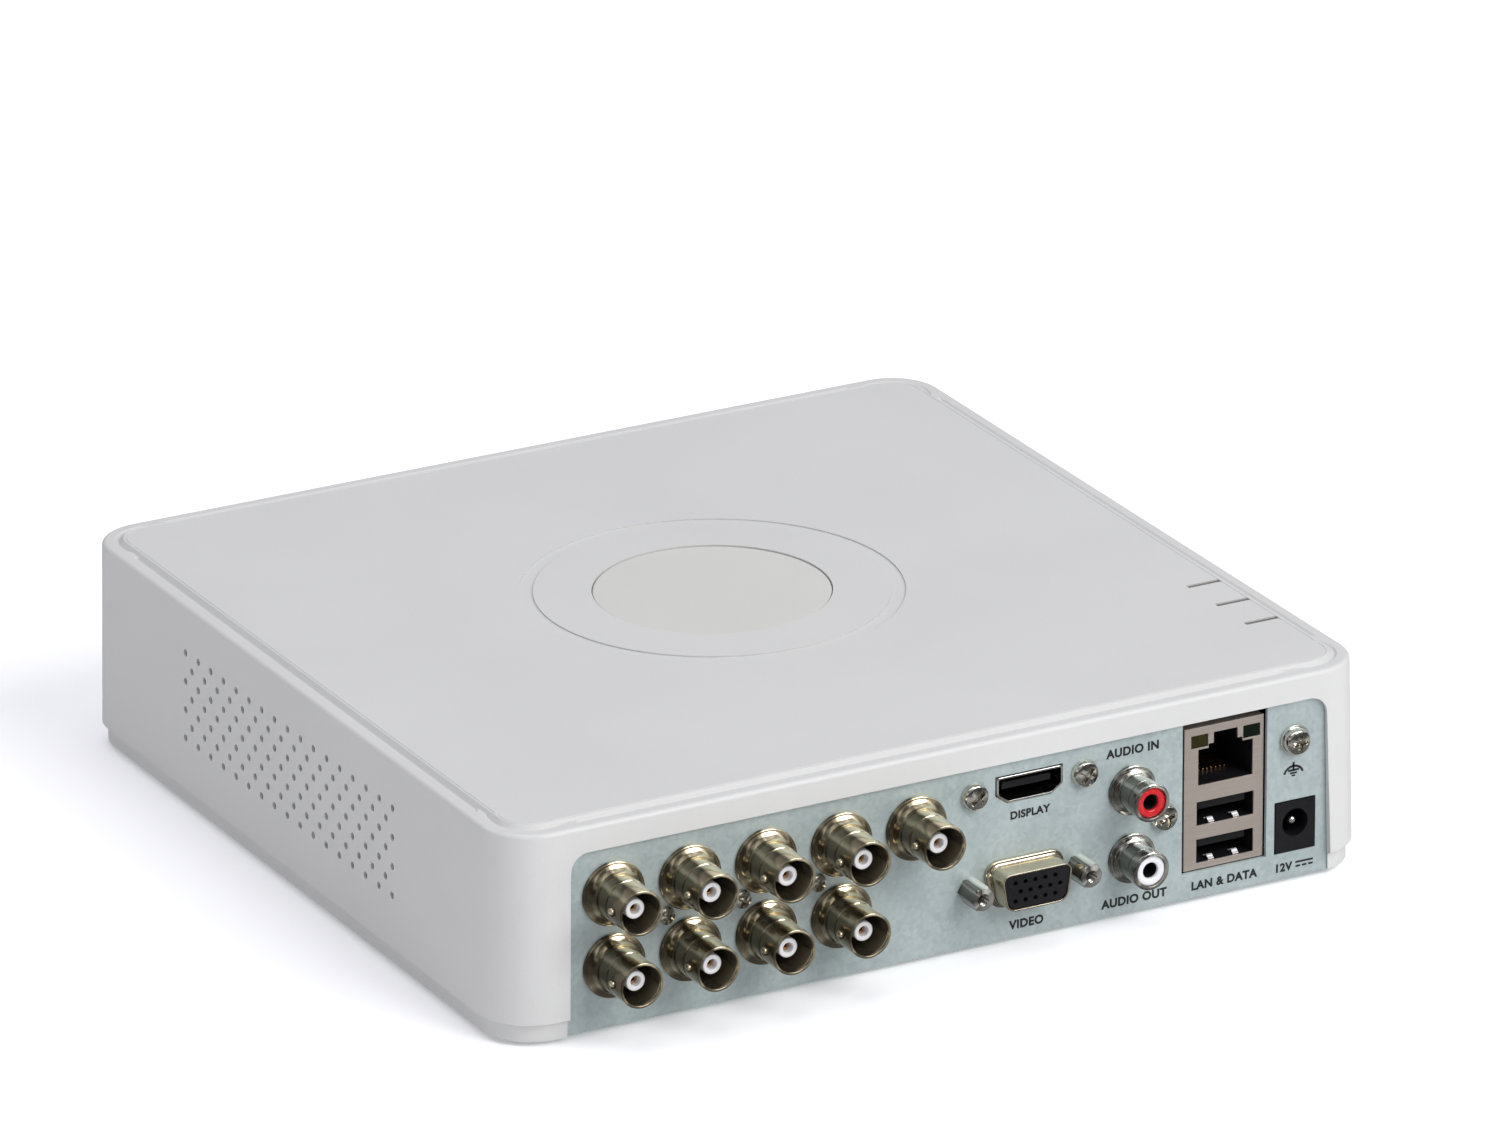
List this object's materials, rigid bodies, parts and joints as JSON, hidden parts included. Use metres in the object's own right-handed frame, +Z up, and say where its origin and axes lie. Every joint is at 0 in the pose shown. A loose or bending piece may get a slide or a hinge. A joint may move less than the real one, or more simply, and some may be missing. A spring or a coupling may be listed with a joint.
{
  "type": "video recorder",
  "caption": "Compact desktop video recorder: shallow rounded plastic case on a steel base, with a rear panel of coaxial, display, audio, network and power sockets, a hard drive and a fan.",
  "frame": {"origin": "on the resting plane, under the middle of the whole box", "axes": "+Z up, +Y towards the socket panel at the rear, the front faces -Y"},
  "size_m": [0.2, 0.2046, 0.046],
  "materials": {
    "cover_plastic": "fine matte grain on the top, smoother sides",
    "badge_plastic": "smooth satin",
    "smoked_plastic": "clear smoked",
    "galvanised_steel": "zinc coated, finely mottled",
    "foot_rubber": "matte",
    "screw_steel": "nickel plated",
    "board_green": "solder mask",
    "brass": "bright",
    "black_plastic": "satin",
    "chip_plastic": "matte moulded",
    "heat_sink_aluminium": "anodised",
    "can_aluminium": "bright",
    "cell_steel": "bright",
    "light_lens": "clear tinted",
    "socket_nickel": "warm nickel plate",
    "white_insulator": "smooth",
    "red_insulator": "smooth",
    "gold_contact": "gold plated",
    "shield_steel": "warm tinned steel",
    "drive_aluminium": "cast",
    "drive_lid_steel": "satin",
    "platter_mirror": "polished",
    "data_lead": "flat lead",
    "power_lead": "flat lead"
  },
  "bodies": {
    "base": {"base_chassis": "galvanised_steel", "rubber_feet": "foot_rubber", "case_screws": "screw_steel", "panel_screws": "screw_steel", "main_board": "board_green", "board_standoffs": "brass", "board_screws": "screw_steel", "board_sockets": "black_plastic", "processor": "chip_plastic", "heat_sink": "heat_sink_aluminium", "support_chips": "chip_plastic", "capacitors": "can_aluminium", "coin_cell": "cell_steel", "buzzer": "black_plastic", "status_lights": "light_lens", "bnc_shell_1": "socket_nickel", "bnc_shell_2": "socket_nickel", "bnc_shell_3": "socket_nickel", "bnc_shell_4": "socket_nickel", "bnc_shell_5": "socket_nickel", "bnc_shell_6": "socket_nickel", "bnc_shell_7": "socket_nickel", "bnc_shell_8": "socket_nickel", "bnc_shell_9": "socket_nickel", "bnc_insulators": "white_insulator", "bnc_contacts": "gold_contact", "bnc_housings": "black_plastic", "display_shell": "socket_nickel", "display_tongue": "black_plastic", "vga_shell": "socket_nickel", "vga_insert": "black_plastic", "vga_jackscrews": "socket_nickel", "audio_in_shell": "socket_nickel", "audio_out_shell": "socket_nickel", "audio_in_insulator": "red_insulator", "audio_out_insulator": "white_insulator", "audio_contacts": "gold_contact", "audio_housing": "black_plastic", "lan_usb_shield": "shield_steel", "lan_usb_insert": "black_plastic", "lan_usb_contacts": "gold_contact", "link_lights": "light_lens", "power_jack_body": "black_plastic", "power_jack_pin": "socket_nickel", "drive_case": "drive_aluminium", "drive_lid": "drive_lid_steel", "drive_board": "board_green", "drive_screws": "screw_steel", "drive_data_cable": "data_lead", "drive_power_cable": "power_lead", "fan_frame": "black_plastic", "fan_lead": "power_lead"},
    "cover": {"top_cover": "cover_plastic", "badge_disc": "badge_plastic", "light_guides": "smoked_plastic"},
    "drive_spindle": {"drive_platters": "platter_mirror"},
    "head_arm": {"drive_arm": "drive_aluminium"},
    "fan_wheel": {"fan_rotor": "black_plastic"},
    "ground_washer_body": {"ground_washer": "screw_steel"},
    "ground_screw_body": {"ground_screw": "screw_steel"}
  },
  "joints": [
    {"name": "cover_lift", "type": "slide", "parent": "base", "child": "cover", "axis": [0, 0, 1], "range_m": [0, 0.06]},
    {"name": "drive_spin", "type": "hinge", "parent": "base", "child": "drive_spindle", "pos_m": [0.024, -0.04245, 0.02], "axis": [0, 0, 1], "continuous": true},
    {"name": "arm_swing", "type": "hinge", "parent": "base", "child": "head_arm", "pos_m": [-0.044, -0.07125, 0.02], "axis": [0, 0, 1], "range_deg": [-30, 0]},
    {"name": "fan_spin", "type": "hinge", "parent": "base", "child": "fan_wheel", "pos_m": [0.089, -0.02125, 0.0222], "axis": [1, 0, 0], "continuous": true},
    {"name": "ground_washer_slide", "type": "slide", "parent": "base", "child": "ground_washer_body", "axis": [0, 1, 0], "range_m": [0, 0.0049]},
    {"name": "ground_screw_turn", "type": "hinge", "parent": "ground_washer_body", "child": "ground_screw_body", "pos_m": [-0.0818, 0.08995, 0.0313], "axis": [0, 1, 0], "range_deg": [0, 2540]}
  ],
  "couplings": [
    {"joint": "ground_screw_turn", "follows": "ground_washer_slide", "rad_per_m": 8976}
  ]
}
